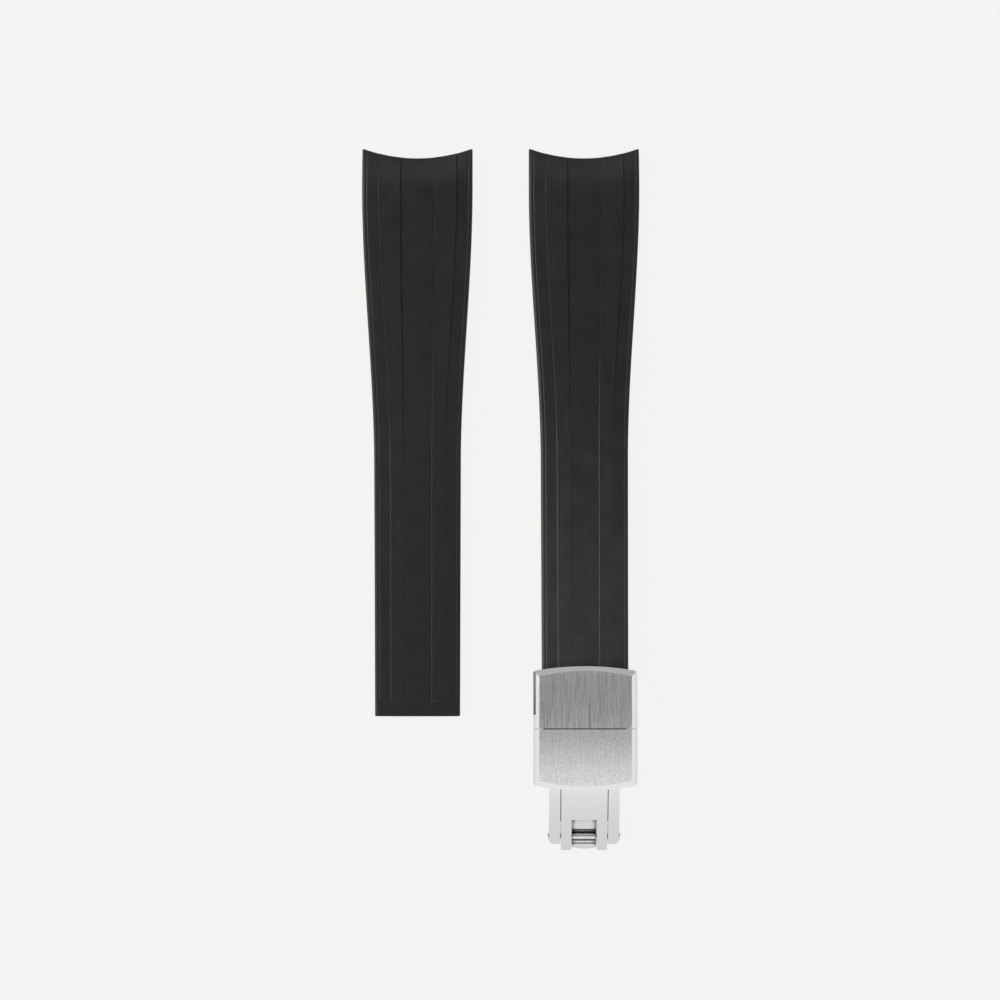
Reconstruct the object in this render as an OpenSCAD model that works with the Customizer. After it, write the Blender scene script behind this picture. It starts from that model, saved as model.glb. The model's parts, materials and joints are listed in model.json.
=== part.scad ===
// Moulded rubber watch strap in two halves, one of them pinned into a three-blade folding clasp.
// Millimetres, +Z up. Both halves point along Y with their lug ends at +Y, as they lie on a table.

/* [Strap] */
// Distance between the centre lines of the two strap halves
strap_spacing = 30; // [26:0.5:40]
// Length of a half along its centre line
strap_len = 100.6; // [94:0.2:112]
// Width at the lug end
lug_w = 19.86; // [18:0.02:22]
// Width where the taper ends
waist_w = 15.62; // [14:0.02:16]
// Width at the clasp end
tail_w = 15.34; // [14:0.1:15.8]
// Distance from the clasp end to where the taper begins
taper_from = 45.2; // [35:0.2:55]
// Distance from the clasp end to where the taper reaches the lug width
taper_to = 95.2; // [85:0.2:98]
// Thickness at the clasp end
tail_t = 2.8; // [2.6:0.05:3]
// Thickness at the top of the lug end
lug_t = 5; // [4.6:0.1:6]
// Radius of the lug end's rounded top, seen from the side
nose_r = 14; // [13:0.5:18]
// Length over which the lug end rounds off
nose_len = 7.4; // [6:0.2:8]
// Radius of the watch case that the concave end seats on
case_r = 28; // [22:1:40]
// How much lower the top is at the long edges than in the middle
crown = 0.3; // [0:0.05:0.5]
// Radius of the spring bar hole in the lug end
lug_bore_r = 0.95; // [0.8:0.01:1.1]
// Distance of the lug end's hole from the concave end
lug_bore_in = 2.4; // [2.2:0.1:3]
// Height of the lug end's hole above the underside
lug_bore_z = 2; // [1.8:0.1:2.2]
// Length that lies flat behind the lug end on the half in the clasp
flat_len = 10.4; // [8:0.2:14]

/* [Strap relief] */
// Height of the two lined bands above the rest of the top
band_rise = 0.2; // [0.1:0.05:0.3]
// Half width of the smooth middle where the strap is slim
middle_half = 2.58; // [2:0.02:3]
// How much of the strap's widening the smooth middle takes
middle_spread = 0.21; // [0:0.01:0.4]
// Distance from the long edge to the lined band
band_inset = 2.87; // [2:0.05:3.2]
// Distance from the long edge to the fine edge groove
groove_inset = 0.76; // [0.6:0.01:1]
// Depth of the edge groove
groove_d = 0.1; // [0.05:0.05:0.3]
// Plain border at the clasp end, where bands and grooves stop
border_len = 2.6; // [2:0.1:4]

/* [Cut-to-length holes] */
// Number of bar holes at the clasp end
hole_count = 6; // [2:1:8]
// Distance from one bar hole to the next
hole_pitch = 5; // [4:0.5:6]
// Distance of the first bar hole from the clasp end
hole_in = 2.6; // [2:0.1:3]
// Radius of a bar hole
hole_r = 0.8; // [0.78:0.01:0.9]
// Depth of the cutting guides on the underside
guide_d = 0.35; // [0.2:0.05:0.5]

/* [Clasp blades] */
// Radius of the base blade's inner face, which lies on the wrist
base_r = 44; // [40:1:50]
// Thickness of the base blade's floor
floor_t = 0.8; // [0.6:0.05:1]
// Thickness of a folding arm
arm_t = 1.25; // [1.1:0.05:1.4]
// Width of a folding arm
arm_w = 8.32; // [7.5:0.02:9]
// Width of one side rail of the base blade
rail_w = 2; // [1.5:0.1:2.4]
// Width of the window at the end of an arm
window_w = 4.54; // [4:0.02:5.5]
// Distance of a hinge pin from the middle of the clasp
pin_u = 20.1; // [19:0.1:22]
// Length of an arm's tail past its hinge pin
tail_len = 2.3; // [2:0.05:2.4]
// Reach of a side rail past its hinge pin
rail_end_len = 1.4; // [1.3:0.05:1.6]
// Reach of the base blade's tongue past the hinge pin
lip_len = 2.45; // [2.2:0.05:3]
// Height of the finger lip at the tongue's end
lip_rise = 0.35; // [0.2:0.05:0.5]
// Where an arm's window begins, from the middle of the clasp
window_u = 17; // [16:0.1:17.5]
// Height of the hinge pins above the base blade's inner face
pin_rise = 1.1; // [1.1:0.02:1.2]
// Radius of the barrel in the middle of a hinge
barrel_r = 0.62; // [0.6:0.01:0.8]
// Radius of the knuckles at both ends of an arm
arm_knuckle_r = 1; // [0.9:0.02:1.04]
// Radius of a hinge pin
pin_r = 0.42; // [0.38:0.01:0.5]
// Distance of a cover pin from the middle of the clasp
cover_pin_u = 1.7; // [1.5:0.1:2]
// Radius of a cover pin
cover_pin_r = 0.5; // [0.4:0.01:0.55]
// How much further out a cover pin lies than a hinge pin
cover_pin_rise = 0.55; // [0.5:0.05:0.8]
// Gap between blades that slide past each other
blade_gap = 0.14; // [0.08:0.01:0.2]

/* [Covers] */
// Length of one cover along the strap
cover_len = 11; // [10:0.1:12]
// Width of a cover
cover_w = 18.54; // [18:0.02:20]
// Thickness of a cover's side walls
wall_t = 1.15; // [0.8:0.05:1.2]
// Thickness of a cover's top plate
plate_t = 1.1; // [0.8:0.05:1.4]
// Width of the polished bevel along the sides
side_bevel = 0.61; // [0.5:0.01:0.8]
// Drop of a side bevel
side_drop = 0.3; // [0.2:0.01:0.4]
// Width of the steep facet outside a side bevel
facet_w = 0.36; // [0.2:0.02:0.5]
// Lean of that facet in degrees
facet_lean = 58; // [50:1:65]
// Width of the rounding between the facet and the upright side
side_round = 0.12; // [0.08:0.02:0.3]
// Run of the polished bevel at the arched end over its drop
end_bevel = 0.56; // [0.4:0.02:0.8]
// Drop of the bevel at the arched end
end_drop = 0.39; // [0.3:0.01:0.5]
// Plan radius of the arched end
arch_r = 50; // [30:1:80]
// Plan radius of the outer corners
corner_r = 0.65; // [0.4:0.05:1]
// Gap between the two covers
split_gap = 0.18; // [0.1:0.01:0.3]

/* [Spring bars] */
// Radius of a bar's tube
tube_r = 0.75; // [0.65:0.01:0.77]
// Radius of the bar tips that enter the covers
tip_r = 0.4; // [0.3:0.01:0.45]
// Travel of a bar tip
tip_travel = 0.9; // [0.85:0.01:1]
// Turns of the coil spring in a bar
spring_turns = 12; // [8:1:16]

/* [Hidden] */

rubber = [0.075, 0.075, 0.075];
brushed = [0.7, 0.7, 0.7];
polished = [0.82, 0.82, 0.81];
spring_steel = [0.6, 0.6, 0.6];

fine = 360;
round_fn = 48;
fit = 0.03;
seat = 0.3;
cut = 1;

// Fixed small lengths of the moulding and the fittings
edge_r = 0.45;
end_round = 0.35;
step_w = 0.08;
groove_half = 0.16;
relief_len = 0.15;
tail_flat = 15;
room = 0.5;
ear_r = 1;
collar_t = 0.6;
collar_gap = 0.15;

// Radii of the clasp's layers, from its centre of curvature outwards
floor_top_r = base_r + floor_t;
arm_in_r = floor_top_r + 0.15;
arm_out_r = arm_in_r + arm_t;
hinge_r = base_r + pin_rise;
cover_hinge_r = hinge_r + cover_pin_rise;
strap_in_r = cover_hinge_r + arm_knuckle_r + 0.35;
strap_out_r = strap_in_r + tail_t + band_rise;
plate_in_r = strap_out_r + 0.35;
plate_out_r = plate_in_r + plate_t;

// Angles on those radii, from the middle of the clasp
pin_a = asin(pin_u / hinge_r);
cover_pin_a = asin(cover_pin_u / cover_hinge_r);
tail_a = pin_a + tail_len / hinge_r * 180 / PI;
lip_u = pin_u + lip_len;
window_end_u = pin_u - tail_len - 0.45;
rail_from_u = 8;
rail_end_u = pin_u + rail_end_len;
rail_chamfer = 0.45;
tongue_end_r = 8;
lip_from_u = pin_u + barrel_r + 0.28;
centre_z = -sqrt(base_r * base_r - lip_u * lip_u);

// Grooves across a tongue: one before the barrel, and one on the lip for a finger nail
relief_r = 0.38;
relief_u = pin_u - barrel_r - 0.31;
nail_r = 0.16;
nail_u = pin_u + 1.35;

// Half widths across the clasp
arm_x = arm_w / 2;
rail_in_x = arm_x + blade_gap;
rail_out_x = rail_in_x + rail_w;
window_x = window_w / 2;
tongue_x = window_x - blade_gap * 0.7;
wall_out_x = cover_w / 2;
wall_in_x = wall_out_x - wall_t;

// The strap half in the clasp: it leaves the cover on a slope and bends level at the table
slope = asin((cover_len + 1.6) / 2 / (strap_in_r + tail_t / 2));
strap_end_u = 2;
end_t = (strap_end_u - strap_in_r * sin(slope)) / cos(slope);
end_z = centre_z + strap_in_r * cos(slope) - end_t * sin(slope);
slope_rad = slope * PI / 180;
bend_r = ((strap_len - flat_len) * sin(slope) - end_z) / (slope_rad * sin(slope) - 1 + cos(slope));
bend_len = bend_r * slope_rad;
ramp_len = strap_len - flat_len - bend_len;
ramp_y = ramp_len * cos(slope) + bend_r * sin(slope) + flat_len;

// Places of the lug ends and of the clasp, with the whole part centred on the origin
horn = case_r - sqrt(case_r * case_r - lug_w * lug_w / 4);
clasp_low = arm_out_r * sin(tail_a);
clasp_to_lug = ramp_y + strap_end_u;
lug_end_y = (clasp_to_lug + clasp_low - horn) / 2;
clasp_y = lug_end_y - clasp_to_lug;
right_x = strap_spacing / 2;
left_x = -right_x;

// The spring bar's axis in the clasp, measured from its centre of curvature
bar_mid_r = strap_in_r + tail_t / 2;
bar_t = end_t + hole_in;
bar_u = bar_mid_r * sin(slope) + bar_t * cos(slope);
bar_z = bar_mid_r * cos(slope) - bar_t * sin(slope);

nose_from = strap_len - nose_len;
collar_out_x = wall_in_x - collar_gap;
collar_in_x = collar_out_x - collar_t;
tube_x = collar_in_x - tip_travel - 0.05;
tip_out_x = wall_in_x + 0.8;
stem_r = tube_r - 0.3;
stem_in_x = 3.9;

function ease(t) = let(c = min(1, max(0, t))) c * c * (3 - 2 * c);

// Half width, thickness and band height at a distance s from the clasp end
function half_w(s) = s < taper_from
    ? (tail_w + (waist_w - tail_w) * s / taper_from) / 2
    : (waist_w + (lug_w - waist_w) * ease((s - taper_from) / (taper_to - taper_from))) / 2;
function thick(s) = s < nose_from
    ? tail_t + (lug_t - tail_t) * ease((s - tail_flat) / (nose_from - tail_flat))
    : lug_t - nose_r + sqrt(nose_r * nose_r - pow(s - nose_from, 2));
function relief(s) = ease((s - border_len) / relief_len);

// Underside of a half, from its clasp end: [y, z, slope], with y = 0 at the clasp end
function flat_path(s) = [s, 0, 0];
function bent_path(s) = s < ramp_len
    ? [s * cos(slope), end_z - s * sin(slope), -slope]
    : s < ramp_len + bend_len
    ? let(a = slope - (s - ramp_len) / bend_r * 180 / PI)
        [ramp_len * cos(slope) + bend_r * (sin(slope) - sin(a)), bend_r * (1 - cos(a)), -a]
    : [ramp_y - strap_len + s, 0, 0];

// One half of the moulded section, from the middle of the top out and round to the underside
function half_section(s) =
    let(
        corner = s < end_round ? end_round * (1 - sqrt(1 - pow(1 - s / end_round, 2))) : 0,
        w = half_w(s) - corner,
        t = thick(s),
        mid = middle_half + middle_spread * (w - waist_w / 2),
        band = w - band_inset,
        groove = w - groove_inset,
        up = band_rise * relief(s),
        down = groove_d * relief(s),
        edge = min(edge_r, t * 0.3)
    )
    [
        for (p = [
            [mid, 0], [mid + step_w, up], [band - step_w, up], [band, 0],
            [groove - groove_half, 0], [groove, -down], [groove + groove_half, 0],
            [w - edge * 0.3, -edge * 0.25], [w, -edge]
        ]) [p[0], t - crown * pow(p[0] / w, 2) + p[1]],
        [w, edge], [w - edge, 0]
    ];

function station_list() = concat(
    [0, end_round / 6, end_round / 2, end_round, border_len],
    [for (i = [0 : 14]) border_len + relief_len + (nose_from - border_len - relief_len) * i / 14],
    [for (i = [1 : 8]) nose_from + (nose_len + horn + 0.4) * i / 8]
);

// A strap half as a loft through its sections; the raised bands, grooves and crown are in the section
module strap_loft(bent) {
    stations = station_list();
    rings = [
        for (s = stations)
            let(
                p = bent ? bent_path(s) : flat_path(s),
                half = half_section(s),
                n = len(half),
                ring = concat(half, [for (i = [n - 1 : -1 : 0]) [-half[i][0], half[i][1]]])
            )
            [for (q = ring) [q[0], p[0] - q[1] * sin(p[2]), p[1] + q[1] * cos(p[2])]]
    ];
    n = len(rings[0]);
    m = len(rings);
    polyhedron(
        points = [for (r = rings) each r],
        faces = concat(
            [[for (i = [n - 1 : -1 : 0]) i]],
            [[for (i = [0 : n - 1]) (m - 1) * n + i]],
            [for (j = [0 : m - 2], i = [0 : n - 1])
                [j * n + i, j * n + (i + 1) % n, (j + 1) * n + i]],
            [for (j = [0 : m - 2], i = [0 : n - 1])
                [j * n + (i + 1) % n, (j + 1) * n + (i + 1) % n, (j + 1) * n + i]]
        ),
        convexity = 6
    );
}

// A round cutter or pin along X
module cross_rod(r, length, fn = round_fn) {
    rotate([0, 90, 0])
        cylinder(r = r, h = length, center = true, $fn = fn);
}

module strap_half(bent) {
    start = bent ? clasp_y + strap_end_u : lug_end_y - strap_len;
    translate([bent ? right_x : left_x, start, 0])
        difference() {
            strap_loft(bent);
            translate([0, lug_end_y - start + case_r, 0])
                cylinder(r = case_r, h = 3 * lug_t, center = true, $fn = fine);
            translate([0, lug_end_y - start - lug_bore_in, lug_bore_z])
                cross_rod(lug_bore_r, lug_w + 2 * cut);
            for (i = [0 : hole_count - 1])
                tail_cuts(hole_in + i * hole_pitch, bent, i > 0);
        }
}

// A bar hole and the cutting guide that goes with it
module tail_cuts(s, bent, guided) {
    p = bent ? bent_path(s) : flat_path(s);
    translate([0, p[0], p[1]])
        rotate([p[2], 0, 0]) {
            translate([0, 0, tail_t / 2])
                cross_rod(hole_r, waist_w + 2 * cut);
            if (guided)
                translate([0, -hole_in, 0])
                    rotate([45, 0, 0])
                        cube([waist_w + 2 * cut, guide_d * sqrt(2), guide_d * sqrt(2)], center = true);
        }
}

// Moves a part of the clasp from its centre of curvature to its place
module in_clasp(upper = true) {
    translate([right_x, clasp_y, centre_z])
        mirror([0, upper ? 0 : 1, 0])
            children();
}

// A curved plate about the X axis between two distances from the clasp's middle
module arc_plate(r_in, r_out, x_half, a_from, a_to) {
    rotate([0, -90, 0])
        rotate([0, 0, a_from])
            rotate_extrude(angle = a_to - a_from, $fn = fine)
                translate([r_in, -x_half])
                    square([r_out - r_in, 2 * x_half]);
}

// The same pair of shapes on both sides of the middle
module both_sides() {
    children();
    mirror([1, 0, 0])
        children();
}

module at_hinge() {
    translate([0, pin_u, hinge_r * cos(pin_a)])
        children();
}

module at_cover_pin() {
    translate([0, cover_pin_u, cover_hinge_r * cos(cover_pin_a)])
        children();
}

module at_bar() {
    translate([0, bar_u, bar_z])
        children();
}

// The same shape at both ends of the clasp
module both_ends() {
    children();
    mirror([0, 1, 0])
        children();
}

// Moves a shape to a distance from the clasp's middle on one of its layers
module on_layer(r, u) {
    translate([0, u, sqrt(r * r - u * u)])
        children();
}

// Plan of the base blade's floor: two windows with a bridge between them, and leg slots at both ends
module floor_plan() {
    bridge_half = 0.5;
    difference() {
        union() {
            square([2 * rail_out_x, 2 * base_r * sin(pin_a)], center = true);
            square([2 * (wall_in_x - room), 2 * (catch_half_u + room)], center = true);
        }
        both_ends() {
            translate([-rail_in_x, bridge_half])
                square([2 * rail_in_x, cover_pin_u + arm_knuckle_r + room - bridge_half]);
            translate([-rail_in_x, window_end_u])
                square([2 * rail_in_x, base_r]);
        }
    }
    rail_plan();
    tongue_plan(window_end_u - room);
}

// Plan of the two tongues from a distance to their rounded ends
module tongue_plan(from_u) {
    both_ends()
        intersection() {
            translate([-tongue_x, from_u])
                square([2 * tongue_x, base_r]);
            translate([0, lip_u - tongue_end_r])
                circle(r = tongue_end_r, $fn = fine);
        }
}

// Plan of the side rails, with their outer corners broken at the ends
module rail_plan() {
    both_ends()
        both_sides()
            polygon([
                [rail_in_x, rail_from_u], [rail_out_x, rail_from_u],
                [rail_out_x, rail_end_u - 1.4 * rail_chamfer],
                [rail_out_x - rail_chamfer, rail_end_u], [rail_in_x, rail_end_u]
            ]);
}

module base_blade() {
    lip_a = asin((lip_u + cut) / base_r);
    color(polished)
        in_clasp()
            difference() {
                union() {
                    intersection() {
                        arc_plate(base_r, floor_top_r, wall_in_x, -lip_a, lip_a);
                        linear_extrude(2 * base_r)
                            floor_plan();
                    }
                    intersection() {
                        arc_plate(base_r + floor_t / 2, arm_out_r, wall_in_x, -lip_a, lip_a);
                        linear_extrude(2 * base_r)
                            rail_plan();
                    }
                    intersection() {
                        arc_plate(base_r + floor_t / 2, floor_top_r + lip_rise, tongue_x + cut,
                            -lip_a, lip_a);
                        linear_extrude(2 * base_r)
                            tongue_plan(lip_from_u);
                    }
                    both_ends()
                        at_hinge()
                            cross_rod(barrel_r, 2 * tongue_x);
                }
                both_ends() {
                    at_hinge()
                        cross_rod(pin_r, 2 * rail_out_x + 2 * cut);
                    on_layer(floor_top_r, relief_u)
                        cross_rod(relief_r, 2 * tongue_x + cut);
                    on_layer(floor_top_r + lip_rise, nail_u)
                        cross_rod(nail_r, 2 * tongue_x + cut);
                }
                both_sides()
                    translate([catch_rivet_x, 0, base_r])
                        cylinder(r = rivet_r, h = 4 * floor_t, center = true, $fn = round_fn);
            }
}

// Catch springs: an upright cheek with two open notches that hold the cover pins
catch_in_x = rail_in_x + 1.75;
catch_t = 0.45;
catch_half_u = 3;
notch_gap = 0.1;
rivet_r = 0.35;
catch_foot_t = 0.4;
catch_foot_x = wall_in_x - 0.55;
catch_rivet_x = (catch_in_x + catch_t + catch_foot_x) / 2;
catch_top_r = strap_in_r - seat;
release_a = atan2(cover_hinge_r * cos(cover_pin_a) - hinge_r * cos(pin_a), pin_u - cover_pin_u);

module catch_spring() {
    difference() {
        union() {
            intersection() {
                arc_plate(floor_top_r, catch_top_r, catch_in_x + catch_t,
                    -asin(catch_half_u / base_r), asin(catch_half_u / base_r));
                translate([catch_in_x, -base_r, 0])
                    cube([catch_t, 2 * base_r, 2 * base_r]);
            }
            intersection() {
                arc_plate(floor_top_r, floor_top_r + catch_foot_t, catch_foot_x,
                    -asin(catch_half_u / base_r), asin(catch_half_u / base_r));
                translate([catch_in_x, -base_r, 0])
                    cube([2 * catch_foot_x, 2 * base_r, 2 * base_r]);
            }
        }
        notch();
        mirror([0, 1, 0])
            notch();
        translate([catch_rivet_x, 0, base_r])
            cylinder(r = rivet_r, h = 4, center = true, $fn = round_fn);
    }
}

// Open seat for a cover pin, leaning the way the pin swings out
module notch() {
    r = cover_pin_r + notch_gap;
    at_cover_pin() {
        cross_rod(r, 4 * wall_out_x);
        rotate([-release_a, 0, 0])
            translate([-2 * wall_out_x, -r, 0])
                cube([4 * wall_out_x, 2 * r, 4]);
    }
}

module catch_pair(left) {
    color(spring_steel)
        in_clasp()
            mirror([left ? 1 : 0, 0, 0])
                catch_spring();
}

module catch_rivets() {
    head_t = 0.25;
    color(polished)
        in_clasp()
            both_sides()
                translate([catch_rivet_x, 0, base_r + 0.02]) {
                    cylinder(r = rivet_r, h = floor_t + catch_foot_t, $fn = round_fn);
                    translate([0, 0, floor_t + catch_foot_t])
                        cylinder(r1 = 2 * rivet_r, r2 = rivet_r, h = head_t, $fn = round_fn);
                }
}

// Folding arm: a curved plate between the cover pin and the hinge pin, forked round its window
module arm() {
    difference() {
        union() {
            arc_plate(arm_in_r, arm_out_r, arm_x, cover_pin_a, tail_a);
            at_cover_pin()
                cross_rod(arm_knuckle_r, arm_w);
            at_hinge()
                cross_rod(arm_knuckle_r, arm_w);
        }
        translate([-window_x, window_u, 0])
            cube([window_w, base_r, 2 * base_r]);
        at_cover_pin()
            cross_rod(cover_pin_r + fit, arm_w + 2 * cut);
        at_hinge()
            cross_rod(pin_r + fit, arm_w + 2 * cut);
    }
}

module folding_arm(upper) {
    color(polished)
        in_clasp(upper)
            arm();
}

module hinge_pin(upper) {
    head_r = pin_r + 0.17;
    head_t = 0.2;
    color(polished)
        in_clasp(upper)
            at_hinge() {
                cross_rod(pin_r, 2 * rail_out_x);
                both_sides()
                    translate([rail_out_x + head_t / 2, 0, 0])
                        cross_rod(head_r, head_t);
            }
}

module cover_pin(upper) {
    color(polished)
        in_clasp(upper)
            at_cover_pin()
                cross_rod(cover_pin_r, cover_w);
}

// What the rounding takes off a cover's outer corner, in plan
module corner_waste() {
    reach = arch_r - corner_r;
    mid_x = wall_out_x - corner_r;
    lean = asin(mid_x / reach);
    far = 2 * corner_r;
    translate([mid_x, cover_len - arch_r + reach * cos(lean)])
        difference() {
            polygon([[0, 0], [far, 0], [far, far], [far * sin(lean), far * cos(lean)]]);
            circle(r = corner_r, $fn = fine);
        }
}

// Section of a cover across the strap, in (radius, x): top plate, bevels, facets and side walls
module cover_section() {
    wall_low_r = strap_in_r - 0.35;
    facet_x = wall_out_x - side_round - facet_w;
    // The rounding turns from the facet's lean to upright
    turn_r = side_round / (1 - sin(facet_lean));
    turn_mid_r = plate_out_r - side_drop - facet_w * tan(facet_lean) - turn_r * cos(facet_lean);
    steps = 4;
    rounding = [
        for (i = [0 : steps])
            let(a = facet_lean + (90 - facet_lean) * i / steps)
            [turn_mid_r + turn_r * cos(a), wall_out_x - turn_r * (1 - sin(a))]
    ];
    half = concat([[plate_out_r, facet_x - side_bevel], [plate_out_r - side_drop, facet_x]], rounding,
        [[wall_low_r, wall_out_x], [wall_low_r, wall_in_x], [plate_in_r, wall_in_x]]);
    polygon(concat(half, [for (i = [len(half) - 1 : -1 : 0]) [half[i][0], -half[i][1]]]));
}

module cover_body() {
    web_t = 1.1;
    web_low_r = cover_hinge_r + arm_knuckle_r + room;
    web_high_r = plate_in_r + plate_t / 3;
    // Height at which the end bevel starts, and the cone that cuts it
    end_z_out = sqrt(plate_out_r * plate_out_r - cover_len * cover_len);
    cone_h = 4;
    cone_run = cone_h * end_bevel / end_drop;
    difference() {
        intersection() {
            union() {
                rotate([0, -90, 0])
                    rotate_extrude(angle = asin((cover_len + cut) / base_r), $fn = fine)
                        cover_section();
                translate([-wall_in_x - cut / 2, 0, web_low_r])
                    cube([2 * wall_in_x + cut, web_t + split_gap / 2, web_high_r - web_low_r]);
                both_sides()
                    at_cover_pin()
                        translate([(wall_in_x + wall_out_x) / 2, 0, 0]) {
                            cross_rod(ear_r, wall_t);
                            translate([-wall_t / 2, -ear_r, 0])
                                cube([wall_t, 2 * ear_r, 2.5 * ear_r]);
                        }
            }
            translate([-wall_out_x, split_gap / 2, 0])
                cube([cover_w, 2 * base_r, 2 * base_r]);
            translate([0, cover_len - arch_r, 0])
                cylinder(r = arch_r, h = 2 * base_r, $fn = fine);
            translate([0, cover_len - arch_r, end_z_out - end_drop - cone_h])
                cylinder(r1 = arch_r + cone_run, r2 = arch_r - cone_run, h = 2 * cone_h, $fn = fine);
        }
        at_cover_pin()
            cross_rod(cover_pin_r, 4 * wall_out_x);
        at_bar()
            cross_rod(tip_r + fit, 2 * (tip_out_x + 0.05));
        both_sides()
            linear_extrude(2 * base_r)
                corner_waste();
    }
}

module cover(upper) {
    color(brushed)
        in_clasp(upper)
            cover_body();
}

module bar_tube(upper) {
    color(polished)
        in_clasp(upper)
            at_bar()
                difference() {
                    cross_rod(tube_r, 2 * tube_x);
                    cross_rod(stem_r + fit, 2 * tube_x + 2 * cut);
                }
}

// Spring-loaded tip of a bar: stem in the tube, collar outside it and tip in the cover's wall
module plunger(upper, left) {
    color(polished)
        in_clasp(upper)
            at_bar()
                mirror([left ? 1 : 0, 0, 0])
                    rotate([0, 90, 0]) {
                        translate([0, 0, stem_in_x])
                            cylinder(r = stem_r, h = collar_in_x - stem_in_x, $fn = round_fn);
                        translate([0, 0, collar_in_x])
                            cylinder(r = tube_r, h = collar_out_x - collar_in_x, $fn = round_fn);
                        translate([0, 0, collar_out_x])
                            cylinder(r = tip_r, h = tip_out_x - collar_out_x, $fn = round_fn);
                    }
}

// Coil spring between the two stems of a bar, one unbroken wire
module bar_spring(upper) {
    wire_r = 0.1;
    coil_r = stem_r - wire_r - 0.02;
    sides = 6;
    per_turn = 8;
    steps = spring_turns * per_turn;
    half_l = stem_in_x - wire_r - 0.03;
    centre = [
        for (k = [0 : steps])
            let(a = 360 * k / per_turn)
            [-half_l + 2 * half_l * k / steps, coil_r * cos(a), coil_r * sin(a)]
    ];
    points = [for (k = [0 : steps], j = [0 : sides - 1])
        let(a = 360 * k / per_turn, b = 360 * j / sides, d = coil_r + wire_r * cos(b))
        [centre[k][0] + wire_r * sin(b), d * cos(a), d * sin(a)]];
    color(spring_steel)
        in_clasp(upper)
            at_bar()
                polyhedron(
                    points = points,
                    faces = concat(
                        [[for (j = [0 : sides - 1]) j]],
                        [[for (j = [sides - 1 : -1 : 0]) steps * sides + j]],
                        [for (k = [0 : steps - 1], j = [0 : sides - 1])
                            [k * sides + (j + 1) % sides, k * sides + j, (k + 1) * sides + j]],
                        [for (k = [1 : steps], j = [0 : sides - 1])
                            let(next = (j + 1) % sides)
                            [(k - 1) * sides + next, k * sides + j, k * sides + next]]
                    ),
                    convexity = 10
                );
}

module left_strap() { color(rubber) strap_half(false); }
module right_strap() { color(rubber) strap_half(true); }

left_strap();
right_strap();
base_blade();
catch_pair(true);  // left_catch_spring
catch_pair(false);  // right_catch_spring
catch_rivets();
folding_arm(true);  // upper_arm
folding_arm(false);  // lower_arm
hinge_pin(true);  // upper_hinge_pin
hinge_pin(false);  // lower_hinge_pin
cover(true);  // upper_cover
cover(false);  // lower_cover
cover_pin(true);  // upper_cover_pin
cover_pin(false);  // lower_cover_pin
bar_tube(true);  // upper_bar_tube
bar_spring(true);  // upper_bar_spring
plunger(true, true);  // upper_left_plunger
plunger(true, false);  // upper_right_plunger
bar_tube(false);  // lower_bar_tube
bar_spring(false);  // lower_bar_spring
plunger(false, true);  // lower_left_plunger
plunger(false, false);  // lower_right_plunger
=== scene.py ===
"""A moulded rubber watch strap in two halves, one of them in a folding steel clasp, from above."""

import json
import math

import bmesh
import bpy
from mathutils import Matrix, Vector


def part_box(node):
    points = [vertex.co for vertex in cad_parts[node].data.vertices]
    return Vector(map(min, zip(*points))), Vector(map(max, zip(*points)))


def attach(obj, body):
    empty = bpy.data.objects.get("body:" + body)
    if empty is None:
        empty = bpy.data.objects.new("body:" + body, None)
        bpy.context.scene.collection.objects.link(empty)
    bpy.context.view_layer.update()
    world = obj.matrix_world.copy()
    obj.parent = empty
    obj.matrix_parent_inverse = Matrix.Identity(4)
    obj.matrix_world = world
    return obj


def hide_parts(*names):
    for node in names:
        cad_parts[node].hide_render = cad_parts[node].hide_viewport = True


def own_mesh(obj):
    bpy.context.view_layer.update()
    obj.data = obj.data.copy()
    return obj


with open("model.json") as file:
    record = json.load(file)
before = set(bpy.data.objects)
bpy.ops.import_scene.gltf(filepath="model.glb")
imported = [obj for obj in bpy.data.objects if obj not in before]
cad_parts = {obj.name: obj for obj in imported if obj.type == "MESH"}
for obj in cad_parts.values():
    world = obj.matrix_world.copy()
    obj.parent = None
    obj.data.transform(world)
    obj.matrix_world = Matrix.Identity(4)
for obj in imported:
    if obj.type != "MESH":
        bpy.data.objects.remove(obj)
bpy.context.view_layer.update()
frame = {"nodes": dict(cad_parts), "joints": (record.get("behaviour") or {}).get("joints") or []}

MM = 0.001

# Strap half in millimetres, in the CAD part's sizes. Places along it, s, count from the clasp end
STRAP_LEN = 100.6
LUG_W = 19.86
WAIST_W = 15.62
TAIL_W = 15.34
TAPER_FROM = 45.2
TAPER_TO = 95.2
TAIL_T = 2.8
LUG_T = 5.0
SWELL_FROM = 15.0
NOSE_R = 14.0
NOSE_LEN = 7.4
NOSE_FROM = STRAP_LEN - NOSE_LEN
CASE_R = 28.0
HORN = CASE_R - math.sqrt(CASE_R ** 2 - LUG_W ** 2 / 4)
CROWN = 0.3
FLAT_LEN = 10.4

# Bores across the half, the cutting guides between those at the clasp end, and how much longer
# than the half is wide a cutter is
LUG_BORE_R = 0.95
LUG_BORE_IN = 2.4
LUG_BORE_Z = 2.0
HOLE_COUNT = 6
HOLE_PITCH = 5.0
HOLE_IN = 2.6
HOLE_R = 0.8
GUIDE_D = 0.35
CUTTER_OVER = 2.0

# Relief on the top, from the middle out: plain field, raised band, edge groove. The border at
# the clasp end is plain
MIDDLE_HALF = 2.58
MIDDLE_SPREAD = 0.21
BAND_INSET = 2.87
GROOVE_INSET = 0.76
GROOVE_HALF = 0.13
BORDER_LEN = 2.6

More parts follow.
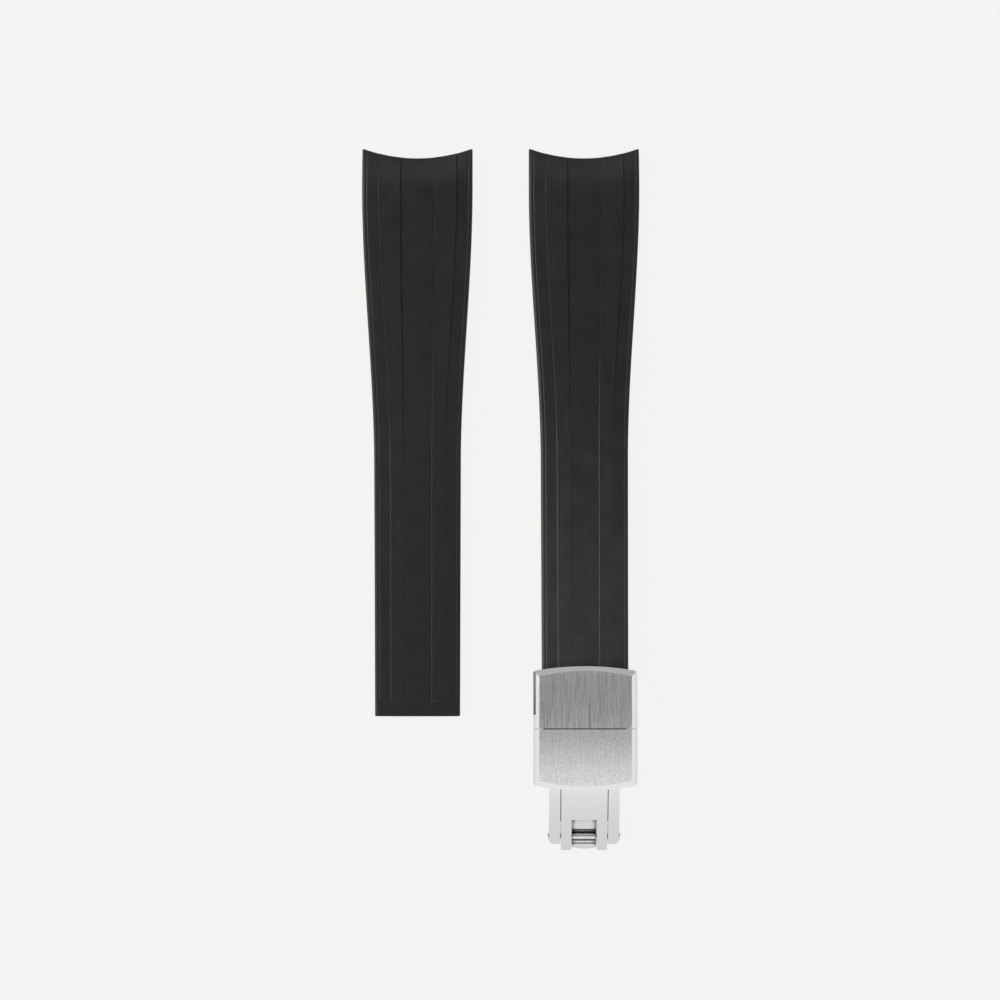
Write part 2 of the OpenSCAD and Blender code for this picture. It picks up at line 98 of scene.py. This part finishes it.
# Heights of the relief, and the length over which it starts at the border. Groove and bands are
# a little shallower than the solids': from RISE_TO down to RISE_FROM the bands fade to a share of
# their rise
BAND_RISE = 0.2
TAIL_RISE_SHARE = 0.34
RISE_FROM = 40.0
RISE_TO = 80.0
GROOVE_D = 0.062
RELIEF_START = 0.3

# Fine ribs on the bands, and the length over which they start
RIB_PITCH = 0.36
RIB_RISE = 0.026
RIB_START = 0.6

# Small radii of the moulded edges: along the sides, at most a share of the thickness, at the ends
# and at the lug's horns
EDGE_R = 0.45
EDGE_R_SHARE = 0.3
END_R = 0.16
HORN_R = 0.25

# A band's wall as (distance from its foot, share of the rise), the plain stretch beside it, and
# a groove's profile as (place across its half width, share of its depth)
WALL_W = 0.1
WALL = ((-0.012, 0.03), (WALL_W * 0.3, 0.5), (WALL_W * 0.7, 0.93), (WALL_W, 1.0))
WALL_GAP = 0.06
GROOVE = ((-0.75, 0.2), (-0.35, 0.8), (0, 1.0), (0.35, 0.8), (0.75, 0.2), (1, 0.0))

# Rows of the half's mesh: near the clasp end, and before the lug end as shares of HORN_R. From
# CONCAVE_FROM on they bend into the concave end
END_ROWS = (0.0, 0.02, 0.05, 0.1, END_R)
HORN_ROWS = (0.8, 0.6, 0.45, 0.32, 0.2, 0.12, 0.05, 0.015, 0.0)
CONCAVE_FROM = NOSE_FROM - 0.5

# Points across half a row: on the plain middle, the ribs, the plain strip beside the groove, each
# rounded edge and the side wall
FIELD_POINTS = 7
RIB_POINTS = 66
STRIP_POINTS = 6
EDGE_STEPS = 7
SIDE_POINTS = 5

# Angles from which a corner is shaded sharp, and the distance in metres within which points of
# a spring are one
RUBBER_SHARP_DEG = 40
SPRING_SHARP_DEG = 60
WELD = 1e-6

# Clasp in millimetres: the base blade's inner radius, the covers' outer one, where the strap lies
# in its cover, and the length beyond the cover's that sets the strap's slope
BASE_R = 44.0
COVER_OUT_R = 51.45
COVER_LEN = 11.0
STRAP_OVER_PIN = 1.35
STRAP_END_U = 2.0
SLOPE_OVER = 1.6

# What noise is on average, the range it mostly keeps to, and the rays that feel for a recess to
# paint shade in
NOISE_MEAN = 0.5
NOISE_RANGE = (0.3, 0.7)
AO_SAMPLES = 8

# Rubber: darkest and palest cloudy patches, and the painted sheen's heights and strength
RUBBER_DARK = (0.0042, 0.0043, 0.0041)
RUBBER_PALE = (0.0082, 0.0083, 0.008)
RUBBER_ROUGHNESS = (0.38, 0.48)
RUBBER_SPECULAR = 0.33
PAINTED_SHEEN_Z = (5 * MM, 10 * MM)
PAINTED_SHEEN = 1.8

# Covers: the darkest and palest brushed lines, how rough those are, how deep below the top's
# radius the brushing fades out, the broader lines' share, and the polished frame
BRUSHED_DARK = (0.3, 0.3, 0.3)
BRUSHED_PALE = (0.88, 0.88, 0.875)
BRUSHED_ROUGHNESS = (0.34, 0.2)
BRUSHED_ANISOTROPY = 0.6
BRUSHED_DEPTH = (0.012, 0.006)
BROAD_SHARE = 0.08
STREAK_RANGE = (-0.5, 0.5)
FRAME_TONE = (0.76, 0.76, 0.755)
FRAME_ROUGHNESS = 0.045

# Other steel: its tones, and what its wipe marks make of tone and roughness
BLADE_TONE = (0.64, 0.64, 0.635)
POLISHED_TONE = (0.78, 0.78, 0.775)
SPRING_TONE = (0.55, 0.55, 0.545)
WIPE_DARK = 0.94
WIPE_ROUGHNESS = (0.8, 1.25)

# The photograph's framing: millimetres per pixel, the pixel at the frame's origin, the camera's
# height over the plane in focus, and that plane's height
MM_PER_PX = 0.18
ORIGIN_PX = (500.7, 499.2)
IMAGE_PX = 1000
CAMERA_MM = 550.0
FOCUS_Z = 3.5
SENSOR_MM = 36.0
CLIP_M = (0.01, 10.0)

# The tent's light by lean from straight up, in degrees, from the front (-Y) to the back (+Y),
# and the light of its left and right sides, which come in between two angles
TENT = ((-90, 1.0), (-54, 1.03), (-38, 1.12), (-29, 1.4), (-22, 1.1), (-18, 0.92), (-11, 0.64),
        (-2, 0.38), (3, 0.33), (12, 0.3), (26, 0.28), (34, 0.5), (42, 1.1), (55, 0.96),
        (63, 0.58), (90, 0.3))
SIDE_DEG = (32, 46)
SIDE_LIGHT = (1.0, 0.97)

# Lamps: name, where the light comes from, strength, and angle in degrees
SUNS = (("key", (-0.9, 0.2, 0.38), 1.6, 12), ("fill", (-0.55, 0.6, 0.58), 0.65, 45))

# Floor: half its width in metres, its paper, the even tone it shows, and that tone's share
FLOOR_HALF = 3.0
PAPER = (0.86, 0.855, 0.84)
PALE = (0.913, 0.905, 0.888)
GLOW_SHARE = 0.96


def ease(t):
    """From 0 to 1 with a soft start and end."""
    c = min(1.0, max(0.0, t))
    return c * c * (3 - 2 * c)


def spread(a, b, count):
    """count values from a to b, both ends among them."""
    return [a + (b - a) * i / (count - 1) for i in range(count)]


# The clasp's place, from the hinges that the record states
joint_at = {j["name"]: Vector(j["pos_m"]) / MM for j in frame["joints"] if "pos_m" in j}
CLASP_X = joint_at["upper_fold"].x
CLASP_Y = (joint_at["upper_fold"].y + joint_at["lower_fold"].y) / 2
base_lo, base_hi = (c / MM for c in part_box("base_blade"))
CENTRE_Z = -math.sqrt(BASE_R ** 2 - ((base_hi.y - base_lo.y) / 2) ** 2)
cover_pin = joint_at["upper_cover_turn"]
STRAP_IN_R = math.hypot(cover_pin.y - CLASP_Y, cover_pin.z - CENTRE_Z) + STRAP_OVER_PIN
LUG_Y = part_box("left_strap")[1].y / MM - HORN

# The half in the clasp comes down a slope and bends level at the table
SLOPE = math.asin((COVER_LEN + SLOPE_OVER) / 2 / (STRAP_IN_R + TAIL_T / 2))
END_T = (STRAP_END_U - STRAP_IN_R * math.sin(SLOPE)) / math.cos(SLOPE)
END_Z = CENTRE_Z + STRAP_IN_R * math.cos(SLOPE) - END_T * math.sin(SLOPE)
BEND_R = (((STRAP_LEN - FLAT_LEN) * math.sin(SLOPE) - END_Z)
          / (SLOPE * math.sin(SLOPE) - 1 + math.cos(SLOPE)))
RAMP_LEN = STRAP_LEN - FLAT_LEN - BEND_R * SLOPE


def flat_path(s):
    """Place along Y, height and tilt of the loose half's underside."""
    return LUG_Y - STRAP_LEN + s, 0.0, 0.0


def bent_path(s):
    """Place along Y, height and tilt of the underside of the half in the clasp."""
    start = CLASP_Y + STRAP_END_U
    if s < RAMP_LEN:
        return start + s * math.cos(SLOPE), END_Z - s * math.sin(SLOPE), -SLOPE
    ramp_y = RAMP_LEN * math.cos(SLOPE)
    turn = SLOPE - (s - RAMP_LEN) / BEND_R
    if turn > 0:
        bend_y = BEND_R * (math.sin(SLOPE) - math.sin(turn))
        return start + ramp_y + bend_y, BEND_R * (1 - math.cos(turn)), -turn
    level_y = ramp_y + BEND_R * math.sin(SLOPE)
    return start + level_y + s - RAMP_LEN - BEND_R * SLOPE, 0.0, 0.0


def along(path, s, height, x):
    """The point at s on a path, that far above the underside."""
    y0, z0, tilt = path(s)
    return x, y0 - height * math.sin(tilt), z0 + height * math.cos(tilt)


def half_w(s):
    """Half the strap's width."""
    if s < TAPER_FROM:
        return (TAIL_W + (WAIST_W - TAIL_W) * s / TAPER_FROM) / 2
    return (WAIST_W + (LUG_W - WAIST_W) * ease((s - TAPER_FROM) / (TAPER_TO - TAPER_FROM))) / 2


def thick(s):
    """The strap's thickness, with the round nose at the lug end."""
    if s < NOSE_FROM:
        return TAIL_T + (LUG_T - TAIL_T) * ease((s - SWELL_FROM) / (NOSE_FROM - SWELL_FROM))
    return LUG_T - NOSE_R + math.sqrt(NOSE_R ** 2 - (s - NOSE_FROM) ** 2)


def round_off(depth, radius):
    """How far a rounded corner has dropped, depth being the distance left to the end face."""
    if depth >= radius:
        return 0.0
    return radius - math.sqrt(max(0.0, radius ** 2 - (radius - depth) ** 2))


def top_line(s):
    """Half of the top, from the middle out: (x, height over the plain crowned top)."""
    w = half_w(s)
    fade = ease((s - RISE_FROM) / (RISE_TO - RISE_FROM))
    share = TAIL_RISE_SHARE + (1 - TAIL_RISE_SHARE) * fade
    started = ease((s - BORDER_LEN) / RELIEF_START)
    up = BAND_RISE * share * started
    down = GROOVE_D * started
    ribs = RIB_RISE * ease((s - BORDER_LEN - RELIEF_START) / RIB_START)
    mid = MIDDLE_HALF + MIDDLE_SPREAD * (w - WAIST_W / 2)
    band = w - BAND_INSET
    groove = w - GROOVE_INSET
    line = [(x, 0.0) for x in spread(0, mid - WALL_GAP, FIELD_POINTS)]
    line += [(mid + x, part * up) for x, part in WALL]
    rib_from, rib_to = mid + WALL_W + WALL_GAP, band - WALL_W - WALL_GAP
    for x in spread(rib_from, rib_to, RIB_POINTS):
        wave = 0.5 - 0.5 * math.cos(2 * math.pi * (rib_to - x) / RIB_PITCH)
        line.append((x, up - ribs * (1 - wave)))
    line += [(band - x, part * up) for x, part in reversed(WALL)]
    line += [(x, 0.0) for x in spread(band + WALL_GAP, groove - GROOVE_HALF, STRIP_POINTS)]
    line += [(groove + x * GROOVE_HALF, -part * down) for x, part in GROOVE]
    return line


def section(s, drop, narrow):
    """Half of the section at s, from the middle out: top, side and underside as (x, z) points.

    Each point of the top has one of the underside below it.
    """
    w = half_w(s) - narrow
    top_z = thick(s) - drop
    squeeze = w / half_w(s)
    edge = min(EDGE_R, top_z * EDGE_R_SHARE)

    def crowned(x):
        return top_z - CROWN * (x / w) ** 2

    top = [(x * squeeze, crowned(x * squeeze) + z) for x, z in top_line(s)]
    top.append((w - edge, crowned(w - edge)))
    turns = [math.pi / 2 * i / EDGE_STEPS for i in range(1, EDGE_STEPS + 1)]
    side = [(w - edge + edge * math.sin(turn), crowned(w) - edge + edge * math.cos(turn))
            for turn in turns]
    side += [(w, z) for z in spread(crowned(w) - edge, drop + edge, SIDE_POINTS)[1:]]
    side += [(w - edge + edge * math.cos(turn), drop + edge - edge * math.sin(turn))
             for turn in turns[:-1]]
    return top, side, [(x, drop) for x, z in top]


def loft_rows():
    """Places of the loft's rows, close together at the ends and where the relief starts."""
    rows = [*END_ROWS, *spread(0.6, BORDER_LEN - 0.15, 3)]
    rows += spread(BORDER_LEN, BORDER_LEN + 1.0, 8)
    rows += spread(BORDER_LEN + 1.6, CONCAVE_FROM, 86)
    rows += spread(CONCAVE_FROM, STRAP_LEN - HORN_R, 34)[1:]
    return rows + [STRAP_LEN - HORN_R * part for part in HORN_ROWS]


def add_object(name, data):
    """A new object in the scene that holds the data."""
    added = bpy.data.objects.new(name, data)
    bpy.context.scene.collection.objects.link(added)
    return added


def mesh_object(name, mesh):
    """Moves a bmesh into a new object in the scene."""
    data = bpy.data.meshes.new(name)
    mesh.to_mesh(data)
    mesh.free()
    return add_object(name, data)


def finish_surface(piece, material, sharp_deg):
    """One material, and smooth shading that breaks at corners sharper than the angle."""
    piece.data.materials.clear()
    piece.data.materials.append(material)
    piece.data.shade_smooth()
    piece.data.set_sharp_from_angle(angle=math.radians(sharp_deg))


def strap_mesh(name, path, centre_x):
    """One half as a closed loft whose last rows follow the concave end."""
    mesh = bmesh.new()
    rings = []
    for s in loft_rows():
        from_end = min(s, STRAP_LEN - s)
        drop = round_off(from_end, END_R)
        narrow = round_off(from_end, HORN_R) if s > STRAP_LEN / 2 else drop
        top, side, underside = section(s, drop, narrow)
        half = top + side + underside[::-1]
        concave = max(0.0, (s - CONCAVE_FROM) / (STRAP_LEN - CONCAVE_FROM))
        ring = []
        for x, z in half + [(-x, z) for x, z in half[-2:0:-1]]:
            reach = CASE_R - math.sqrt(CASE_R ** 2 - x ** 2)
            place = along(path, s + reach * concave, z, centre_x + x)
            ring.append(mesh.verts.new([c * MM for c in place]))
        rings.append(ring)
    count = len(rings[0])
    for a, b in zip(rings, rings[1:]):
        for i in range(count):
            j = (i + 1) % count
            mesh.faces.new((a[i], b[i], b[j], a[j]))
    # The end walls: upright strips between the top and the underside, and one face at each side
    half_count = count // 2
    for ring in (rings[0], rings[-1]):
        for sign in (1, -1):
            for i in range(len(top) - 1):
                corners = (i, i + 1, half_count - i - 1, half_count - i)
                mesh.faces.new([ring[sign * corner] for corner in corners])
            side_points = range(len(top) - 1, half_count - len(top) + 2)
            mesh.faces.new([ring[sign * i] for i in side_points])
    bmesh.ops.recalc_face_normals(mesh, faces=mesh.faces)
    return mesh_object(name, mesh)


def cross_cutter(radius, length, at, sides=64):
    """A bar along X at a point in millimetres, for cutting a hole or, with 4 sides, a notch."""
    mesh = bmesh.new()
    bmesh.ops.create_cone(mesh, cap_ends=True, segments=sides, radius1=radius * MM,
                          radius2=radius * MM, depth=length * MM)
    for v in mesh.verts:
        x, y, z = v.co
        v.co = (z + at[0] * MM, y + at[1] * MM, x + at[2] * MM)
    return mesh_object("cutter", mesh)


def cut(piece, cutter):
    """Takes the cutter's shape out of the piece and removes the cutter."""
    step = piece.modifiers.new("cut", "BOOLEAN")
    step.operation = "DIFFERENCE"
    step.solver = "EXACT"
    step.object = cutter
    bpy.context.view_layer.update()
    cut_piece = piece.evaluated_get(bpy.context.evaluated_depsgraph_get())
    shape = bpy.data.meshes.new_from_object(cut_piece)
    piece.modifiers.clear()
    piece.data = shape
    bpy.data.objects.remove(cutter)


def make_strap(name, path, centre_x, material):
    """One half with its lug bore, its bores at the clasp end and the guides between them."""
    piece = strap_mesh(name, path, centre_x)
    lug_bore = along(path, STRAP_LEN - LUG_BORE_IN, LUG_BORE_Z, centre_x)
    cut(piece, cross_cutter(LUG_BORE_R, LUG_W + CUTTER_OVER, lug_bore))
    for i in range(HOLE_COUNT):
        s = HOLE_IN + i * HOLE_PITCH
        hole = along(path, s, TAIL_T / 2, centre_x)
        cut(piece, cross_cutter(HOLE_R, WAIST_W + CUTTER_OVER, hole))
        if i:
            guide = along(path, s - HOLE_IN, 0, centre_x)
            cut(piece, cross_cutter(GUIDE_D, WAIST_W + CUTTER_OVER, guide, sides=4))
    finish_surface(piece, material, RUBBER_SHARP_DEG)
    return piece


def spring_half(node_name, side, tip_joint, body, material):
    """Half of a bar's spring, cut off at its middle on that side and riding with the cover; named
    after the tip there.
    """
    node = frame["nodes"][node_name]
    low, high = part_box(node_name)
    middle = Vector(((low.x + high.x) / 2, 0, 0))
    mesh = bmesh.new()
    mesh.from_mesh(node.data)
    mesh.transform(node.matrix_world)
    bmesh.ops.remove_doubles(mesh, verts=mesh.verts, dist=WELD)
    everything = mesh.verts[:] + mesh.edges[:] + mesh.faces[:]
    parts = bmesh.ops.bisect_plane(mesh, geom=everything, plane_co=middle,
                                   plane_no=(side, 0, 0), clear_inner=True)
    rim = [e for e in parts["geom_cut"] if isinstance(e, bmesh.types.BMEdge)]
    bmesh.ops.holes_fill(mesh, edges=rim)
    half = mesh_object(tip_joint.replace("tip_slide", "spring_half"), mesh)
    finish_surface(half, material, SPRING_SHARP_DEG)
    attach(half, body)
    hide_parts(node_name)
    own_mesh(half)


class Graph:
    """The shader nodes of a material or of the world. Every helper hands back outputs."""

    def __init__(self, owner):
        owner.use_nodes = True
        self.nodes = owner.node_tree.nodes
        self.links = owner.node_tree.links

    def feed(self, socket, value):
        """Links an output to the socket, or sets a fixed value on it."""
        if isinstance(value, bpy.types.NodeSocket):
            self.links.new(value, socket)
        else:
            socket.default_value = value

    def fill(self, node, inputs):
        """Feeds a node's inputs, by name or number."""
        for key, value in inputs.items():
            self.feed(node.inputs[key], value)
        return node.outputs

    def add(self, kind, inputs=None):
        """A node of that kind with its own settings."""
        return self.fill(self.nodes.new("ShaderNode" + kind), inputs or {})

    def calc(self, operation, a, b=0.0, clamp=False):
        """The result of a mathematical operation on one or two values."""
        node = self.nodes.new("ShaderNodeMath")
        node.operation = operation
        node.use_clamp = clamp
        return self.fill(node, {0: a, 1: b})["Value"]

    def noise(self, coords, scale, detail, rough=0.5, lengthwise=1.0):
        """Noise in waves per millimetre; lengthwise is the share of them along Y and Z."""
        scales = [scale / MM * share for share in (1, lengthwise, lengthwise)]
        place = self.add("Mapping", {"Vector": coords, "Scale": scales})["Vector"]
        return self.add("TexNoise", {"Vector": place, "Scale": 1.0, "Detail": detail,
                                     "Roughness": rough})["Fac"]

    def ramp(self, value, source, result, smooth=False):
        """Takes the source's range to the result's, and stops at both ends."""
        node = self.nodes.new("ShaderNodeMapRange")
        node.interpolation_type = "SMOOTHSTEP" if smooth else "LINEAR"
        return self.fill(node, {"Value": value, "From Min": source[0], "From Max": source[1],
                                "To Min": result[0], "To Max": result[1]})["Result"]

    def mix(self, factor, a, b):
        """From a to b, each an output or the red, green and blue of a fixed colour."""
        node = self.nodes.new("ShaderNodeMix")
        node.data_type = "RGBA"
        a, b = (c if isinstance(c, bpy.types.NodeSocket) else (*c, 1) for c in (a, b))
        return self.fill(node, {"Factor": factor, "A": a, "B": b})["Result"]

    def shaded(self, colour, factor):
        """A colour multiplied by a factor."""
        node = self.nodes.new("ShaderNodeVectorMath")
        node.operation = "SCALE"
        return self.fill(node, {0: colour, "Scale": factor})["Vector"]

    def painted_shade(self, distance, source, darkest):
        """Painted shade: a factor, 1 in the open and down to darkest in a narrow recess, where
        little light comes in.
        """
        node = self.nodes.new("ShaderNodeAmbientOcclusion")
        node.samples = AO_SAMPLES
        seen = self.fill(node, {"Distance": distance * MM})["AO"]
        return self.ramp(seen, source, (darkest, 1.0), smooth=True)

    def bump(self, height, strength, distance):
        """The normal over a relief of that depth in millimetres."""
        return self.add("Bump", {"Height": height, "Strength": strength,
                                 "Distance": distance * MM})["Normal"]


def new_material(name):
    """An empty node material, its graph, and its Principled shader's inputs."""
    material = bpy.data.materials.new(name)
    graph = Graph(material)
    return material, graph, graph.nodes["Principled BSDF"].inputs


def rubber_material():
    """Black moulded rubber: satin skin, cloudy patches, painted sheen high up, painted shade in
    recesses.
    """
    material, graph, shader = new_material("moulded_rubber")
    coords = graph.add("TexCoord")["Object"]
    cloud = graph.noise(coords, scale=0.35, detail=4)
    skin = graph.noise(coords, scale=5.5, detail=2)
    height = graph.add("SeparateXYZ", {"Vector": coords})["Z"]
    # Painted light: the rubber gets paler higher above the table, a painted sheen on the strap's
    # raised part
    painted_sheen = graph.ramp(height, PAINTED_SHEEN_Z, (0.0, PAINTED_SHEEN), smooth=True)
    # Painted shade: colour and specular are darkened in narrow recesses, where little light comes
    # in
    open_part = graph.painted_shade(distance=0.5, source=(0.5, 0.95), darkest=0.3)
    tone = graph.mix(cloud, RUBBER_DARK, RUBBER_PALE)
    tone = graph.shaded(tone, graph.calc("ADD", painted_sheen, 1.0))
    graph.feed(shader["Base Color"], graph.shaded(tone, open_part))
    graph.feed(shader["Roughness"], graph.ramp(cloud, NOISE_RANGE, RUBBER_ROUGHNESS))
    graph.feed(shader["Specular IOR Level"], graph.calc("MULTIPLY", open_part, RUBBER_SPECULAR))
    graph.feed(shader["Normal"], graph.bump(skin, strength=0.4, distance=0.02))
    return material


def cover_material(name, lines_share, grain_share, grain_scale, grain_bump):
    """Steel cover: the curved top is brushed lengthwise, its bevels and sides are polished."""
    material, graph, shader = new_material(name)
    coords = graph.add("TexCoord")["Object"]
    # The brushed top is the surface at its own radius about the clasp's centre line
    axes = graph.add("SeparateXYZ", {"Vector": coords})
    over = graph.calc("POWER", graph.calc("SUBTRACT", axes["Z"], CENTRE_Z * MM), 2.0)
    out = graph.calc("POWER", graph.calc("SUBTRACT", axes["Y"], CLASP_Y * MM), 2.0)
    radius = graph.calc("SQRT", graph.calc("ADD", over, out))
    fade = [(COVER_OUT_R - depth) * MM for depth in BRUSHED_DEPTH]
    top = graph.ramp(radius, fade, (0.0, 1.0))
    # Long fine lines, faint broader ones, and an even grain, each about 0 on average
    lines = graph.noise(coords, scale=6.5, detail=2, rough=0.7, lengthwise=0.026)
    broad = graph.noise(coords, scale=1.2, detail=2, lengthwise=0.03)
    grain = graph.noise(coords, scale=grain_scale, detail=3, rough=0.75)
    lines = graph.calc("ADD", lines, graph.calc("MULTIPLY", broad, BROAD_SHARE))
    lines = graph.calc("SUBTRACT", lines, NOISE_MEAN * (1 + BROAD_SHARE))
    specks = graph.calc("SUBTRACT", grain, NOISE_MEAN)
    streaks = graph.calc("ADD", graph.calc("MULTIPLY", lines, lines_share),
                         graph.calc("MULTIPLY", specks, grain_share))
    tone = graph.ramp(streaks, STREAK_RANGE, (0.0, 1.0))
    brushed = graph.mix(tone, BRUSHED_DARK, BRUSHED_PALE)
    colour = graph.mix(top, FRAME_TONE, brushed)
    # Painted shade: the colour darkens in recesses, such as the split between the covers
    recess = graph.painted_shade(distance=1.5, source=(0.05, 0.45), darkest=0.06)
    graph.feed(shader["Base Color"], graph.shaded(colour, recess))
    rough = graph.ramp(streaks, STREAK_RANGE, BRUSHED_ROUGHNESS)
    rough = graph.calc("ADD", graph.calc("MULTIPLY", top, rough), FRAME_ROUGHNESS)
    graph.feed(shader["Roughness"], rough)
    graph.feed(shader["Metallic"], 1.0)
    pits = graph.bump(grain, strength=graph.calc("MULTIPLY", top, grain_bump), distance=0.03)
    graph.feed(shader["Normal"], pits)
    # Brushing lengthwise spreads reflections across
    across = graph.nodes.new("ShaderNodeVectorTransform")
    across.vector_type = "VECTOR"
    across.convert_from, across.convert_to = "OBJECT", "WORLD"
    graph.feed(shader["Tangent"], graph.fill(across, {"Vector": (1, 0, 0)})["Vector"])
    graph.feed(shader["Anisotropic"], graph.calc("MULTIPLY", top, BRUSHED_ANISOTROPY))
    return material


def plain_steel(name, colour, roughness, satin, narrow=(0.1, 0.8)):
    """Polished or finely satined steel with faint wipe marks, and painted shade in narrow and wide
    recesses.
    """
    material, graph, shader = new_material(name)
    coords = graph.add("TexCoord")["Object"]
    marks = graph.noise(coords, scale=1.1, detail=4)
    fine = graph.noise(coords, scale=7.0, detail=3, lengthwise=0.06)
    # Painted shade: near and far darken the colour in narrow recesses and in wide enclosed spaces
    near = graph.painted_shade(distance=1.2, source=narrow, darkest=0.06)
    far = graph.painted_shade(distance=7.0, source=(0.05, 0.3), darkest=0.1)
    tone = graph.mix(marks, [c * WIPE_DARK for c in colour], colour)
    graph.feed(shader["Base Color"], graph.shaded(tone, graph.calc("MULTIPLY", near, far)))
    wiped = [roughness * share for share in WIPE_ROUGHNESS]
    graph.feed(shader["Roughness"], graph.ramp(marks, NOISE_RANGE, wiped))
    graph.feed(shader["Metallic"], 1.0)
    graph.feed(shader["Normal"], graph.bump(fine, strength=satin, distance=0.01))
    return material


def finish_metal(names, material):
    """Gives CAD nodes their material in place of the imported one."""
    for name in names:
        node = frame["nodes"][name]
        node.data.materials.clear()
        node.data.materials.append(material)


def sun(name, toward, strength, angle):
    """A far soft lamp whose light comes from that direction."""
    data = bpy.data.lights.new(name, "SUN")
    data.energy = strength
    data.angle = math.radians(angle)
    lamp = add_object(name, data)
    lamp.rotation_mode = "QUATERNION"
    lamp.rotation_quaternion = Vector(toward).to_track_quat("Z", "Y")


def set_world():
    """A light tent: bright in front and at the sides, dull overhead and far back."""
    world = bpy.data.worlds.new("tent")
    bpy.context.scene.world = world
    graph = Graph(world)
    background = graph.nodes["Background"].inputs
    axes = graph.add("SeparateXYZ", {"Vector": graph.add("TexCoord")["Generated"]})
    quarter = math.pi / 2
    lean = graph.calc("ARCTAN2", axes["Y"], axes["Z"])
    lean = graph.ramp(lean, (-quarter, quarter), (0.0, 1.0))
    levels = graph.nodes.new("ShaderNodeValToRGB")
    graph.feed(levels.inputs["Fac"], lean)
    stops = levels.color_ramp.elements
    for number, (angle, level) in enumerate(TENT):
        stop = stops[number] if number < 2 else stops.new(1.0)
        stop.position = (angle + 90) / 180
        stop.color = (level, level, level, 1)
    side_range = [math.sin(math.radians(angle)) for angle in SIDE_DEG]
    side = graph.ramp(graph.calc("ABSOLUTE", axes["X"]), side_range, (0.0, 1.0), smooth=True)
    side_light = graph.ramp(axes["X"], (-0.5, 0.5), SIDE_LIGHT)
    graph.feed(background["Color"], graph.mix(side, levels.outputs["Color"], side_light))
    graph.feed(background["Strength"], 1.0)


def make_floor():
    """Pale paper with an even tone, a share of the object's soft shadow, and painted shadow under
    the clasp.
    """
    data = bpy.data.meshes.new("floor")
    corners = [(x * FLOOR_HALF, y * FLOOR_HALF, 0) for x, y in ((-1, -1), (1, -1), (1, 1), (-1, 1))]
    data.from_pydata(corners, [], [(0, 1, 2, 3)])
    floor = add_object("floor", data)
    material, graph, _ = new_material("pale_paper")
    graph.nodes.remove(graph.nodes["Principled BSDF"])
    paper = graph.add("BsdfDiffuse", {"Color": (*PAPER, 1)})["BSDF"]
    # Painted shadow: under the clasp, where little light comes in, the paper's glow goes dark
    painted_shadow = graph.painted_shade(distance=8.0, source=(0.08, 0.3), darkest=0.05)
    glow = graph.add("Emission", {"Color": (*PALE, 1), "Strength": painted_shadow})["Emission"]
    ray = graph.add("LightPath")
    seen = graph.calc("ADD", ray["Is Camera Ray"], ray["Is Glossy Ray"], clamp=True)
    seen = graph.calc("ADD", seen, ray["Is Transmission Ray"], clamp=True)
    share = graph.calc("MULTIPLY", seen, GLOW_SHARE)
    surface = graph.add("MixShader", {"Fac": share, 1: paper, 2: glow})["Shader"]
    graph.feed(graph.nodes["Material Output"].inputs["Surface"], surface)
    data.materials.append(material)


def make_camera():
    """The photograph's view, straight down."""
    data = bpy.data.cameras.new("camera")
    data.sensor_width = SENSOR_MM
    data.lens = SENSOR_MM * CAMERA_MM / (MM_PER_PX * IMAGE_PX)
    data.clip_start, data.clip_end = CLIP_M
    camera = add_object("camera", data)
    camera.location = ((IMAGE_PX / 2 - ORIGIN_PX[0]) * MM_PER_PX * MM,
                       (ORIGIN_PX[1] - IMAGE_PX / 2) * MM_PER_PX * MM,
                       (CAMERA_MM + FOCUS_Z) * MM)
    bpy.context.scene.camera = camera


rubber = rubber_material()
for name, path, centre_x, body in (
        ("left_strap_moulding", flat_path, -CLASP_X, "clasp_base"),
        ("right_strap_moulding", bent_path, CLASP_X, "upper_cover")):
    strap = make_strap(name, path, centre_x, rubber)
    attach(strap, body)
    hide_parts(name.replace("_moulding", ""))

blade_steel = plain_steel("blade_steel", BLADE_TONE, roughness=0.2, satin=0.12)
# The base blade's painted shade reaches further out of its recesses, as in the window over its
# hinge
base_steel = plain_steel("base_steel", BLADE_TONE, roughness=0.2, satin=0.12, narrow=(0.4, 0.92))
polished_steel = plain_steel("polished_steel", POLISHED_TONE, roughness=0.07, satin=0.03)
spring_steel = plain_steel("spring_steel", SPRING_TONE, roughness=0.25, satin=0.1)
upper_steel = cover_material("upper_cover_steel", lines_share=2.4, grain_share=1.4,
                             grain_scale=5.6, grain_bump=0.3)
lower_steel = cover_material("lower_cover_steel", lines_share=0.4, grain_share=1.9,
                             grain_scale=6.2, grain_bump=0.8)
finish_metal(("upper_cover",), upper_steel)
finish_metal(("lower_cover",), lower_steel)
finish_metal(("base_blade",), base_steel)
finish_metal(("upper_arm", "lower_arm"), blade_steel)
finish_metal(("upper_hinge_pin", "lower_hinge_pin", "catch_rivets", "upper_cover_pin",
              "lower_cover_pin", "upper_left_plunger", "upper_right_plunger",
              "lower_left_plunger", "lower_right_plunger", "upper_bar_tube", "lower_bar_tube"),
             polished_steel)
finish_metal(("left_catch_spring", "right_catch_spring"), spring_steel)
for end in ("upper", "lower"):
    for hand, side in (("left", -1), ("right", 1)):
        spring_half(end + "_bar_spring", side, "%s_%s_tip_slide" % (end, hand), end + "_cover",
                    spring_steel)

make_floor()
set_world()
make_camera()
for settings in SUNS:
    sun(*settings)
scene = bpy.context.scene
scene.view_settings.view_transform = "Standard"
